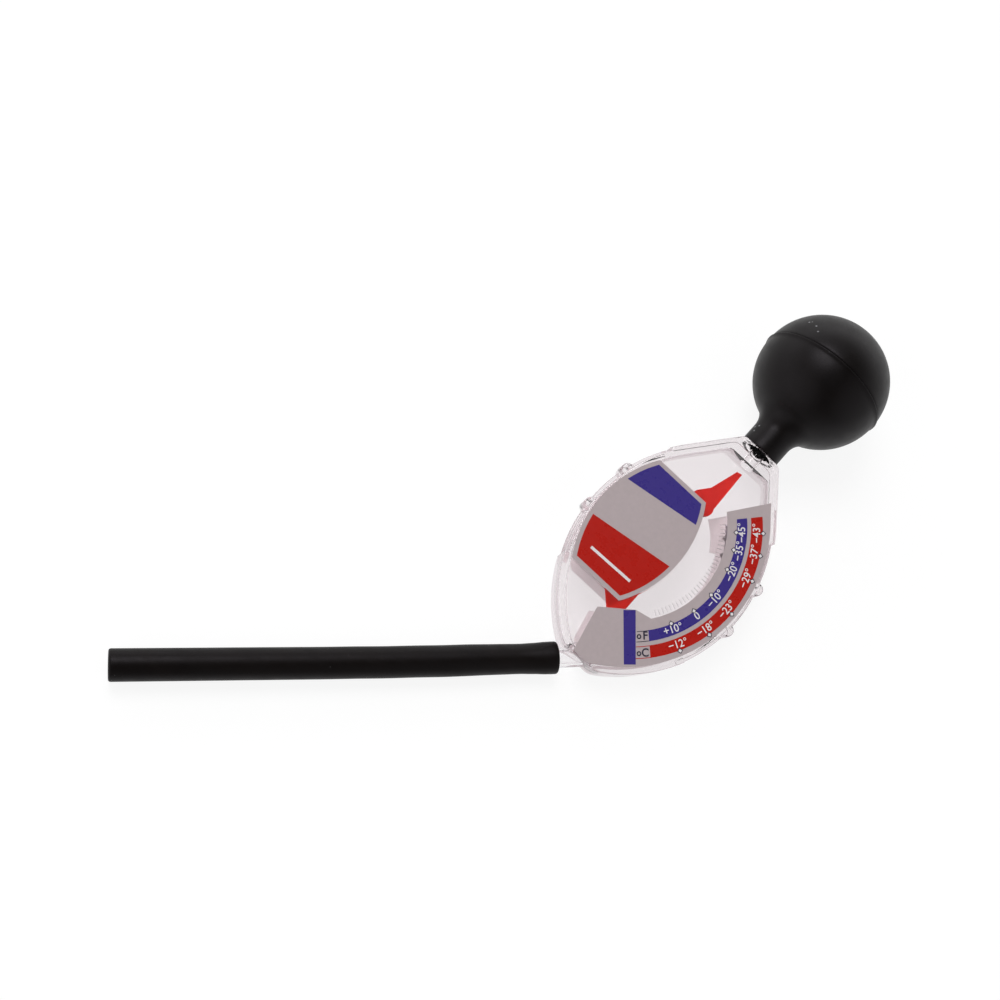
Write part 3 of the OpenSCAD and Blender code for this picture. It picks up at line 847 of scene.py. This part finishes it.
# part of a convex outline on one side of a line
def cutAlong(outline, line, keepAbove):
    a, b = Vector(line[0]), Vector(line[1])
    along = b - a

    def sideOf(p):
        away = along.x * (p[1] - a.y) - along.y * (p[0] - a.x)
        return away if keepAbove else -away

    kept = []
    for p, q in zip(outline, outline[1:] + outline[:1]):
        dp, dq = sideOf(p), sideOf(q)
        if dp >= 0:
            kept.append(p)
        if dp * dq < 0:
            t = dp / (dp - dq)
            kept.append((p[0] + (q[0] - p[0]) * t, p[1] + (q[1] - p[1]) * t))
    return kept


def printTitle(name, behind):
    face, ink = title["face"], title["ink"]
    inner = titleRim(-title["borderBack" if behind else "border"])
    blue, red, pale = InkSheet(), InkSheet(), InkSheet()
    blue.shape(cutAlong(inner, title["blueLine"], True), face, ink)
    red.shape(cutAlong(inner, title["redLine"], False), face, ink)
    a, b = [Vector(end) for end in title["bar"]]
    turn = math.degrees(math.atan2(b.y - a.y, b.x - a.x))
    pale.shape(quad((a + b) / 2, turn, (b - a).length / 2, title["barWide"] / 2), face + ink, ink)
    for sheet, tone in ((blue, "blue"), (red, "red"), (pale, "pale")):
        sheet.press(name, tone, "title_print", behind)


printTitle("front_title", False)
printTitle("rear_title", True)
print("titles printed")


# studio: pale floor, soft lamps
studio = {"floor": 6.0, "paper": (0.86, 0.88), "glow": 0.82, "glowWhite": 1.06,
          "horizon": 0.95, "zenith": 0.14, "fall": (0.25, 0.65),
          "brightSide": (-0.65, 0.75, 0), "dim": 0.3, "bright": 2.2, "turn": (-0.6, 0.9),
          "lamps": (("key_lamp", (-0.684, 0.28, 1.287), 0.8, 10.5),
                    ("right_lamp", (1.25, -0.15, 0.85), 1.8, 5.0),
                    ("left_lamp", (-0.6, -1.25, 0.7), 1.8, 6.5))}


def makeFloor():
    finish, tree, shader, out = newFinish("floor_paper")
    dark, pale = [(level, level, level) for level in studio["paper"]]
    tree.links.new(tintBetween(tree, noiseNode(tree, 40), dark, pale), shader.inputs["Base Color"])
    shader.inputs["Roughness"].default_value = 0.9
    shader.inputs["Specular IOR Level"].default_value = 0.1
    glow = tree.nodes.new("ShaderNodeEmission")
    glow.inputs["Color"].default_value = (1, 1, 1, 1)
    glow.inputs["Strength"].default_value = studio["glowWhite"]
    path = tree.nodes.new("ShaderNodeLightPath")
    seen = path.outputs["Is Camera Ray"]
    for name in ("Is Glossy Ray", "Is Transmission Ray"):
        seen = mathNode(tree, "MAXIMUM", seen, path.outputs[name])
    mixOnto(tree, out, mathNode(tree, "MULTIPLY", seen, studio["glow"]), shader, glow)
    half = studio["floor"] / 2 / mm
    floor = newPiece("floor", [(-half, -half, 0), (half, -half, 0), (half, half, 0), (-half, half, 0)],
                     [(0, 1, 2, 3)], Matrix.Identity(4), finish)


def makeLight():
    world = bpy.data.worlds.new("studio")
    scene.world = world
    world.use_nodes = True
    tree = world.node_tree
    tree.nodes.clear()
    back = tree.nodes.new("ShaderNodeBackground")
    back.inputs["Color"].default_value = (1, 1, 1, 1)
    way = tree.nodes.new("ShaderNodeTexCoord").outputs["Generated"]
    split = tree.nodes.new("ShaderNodeSeparateXYZ")
    tree.links.new(way, split.inputs[0])
    rise = spread(tree, split.outputs["Z"], studio["horizon"], studio["zenith"], *studio["fall"])
    facing = tree.nodes.new("ShaderNodeVectorMath")
    facing.operation = "DOT_PRODUCT"
    tree.links.new(way, facing.inputs[0])
    facing.inputs[1].default_value = studio["brightSide"]
    depth = spread(tree, facing.outputs["Value"], studio["dim"], studio["bright"], *studio["turn"])
    path = tree.nodes.new("ShaderNodeLightPath")
    level = tree.nodes.new("ShaderNodeMix")
    tree.links.new(path.outputs["Is Camera Ray"], level.inputs["Factor"])
    tree.links.new(mathNode(tree, "MULTIPLY", rise, depth), level.inputs["A"])
    level.inputs["B"].default_value = 1.0
    tree.links.new(level.outputs["Result"], back.inputs["Strength"])
    out = tree.nodes.new("ShaderNodeOutputWorld")
    tree.links.new(back.outputs[0], out.inputs["Surface"])
    for name, at, size, power in studio["lamps"]:
        data = bpy.data.lights.new(name, "AREA")
        data.shape = "DISK"
        data.size = size
        data.energy = power
        lamp = bpy.data.objects.new(name, data)
        lamp.location = at
        lamp.rotation_mode = "QUATERNION"
        lamp.rotation_quaternion = Vector(at).to_track_quat("Z", "Y")
        scene.collection.objects.link(lamp)


makeFloor()
makeLight()
print("studio lit")
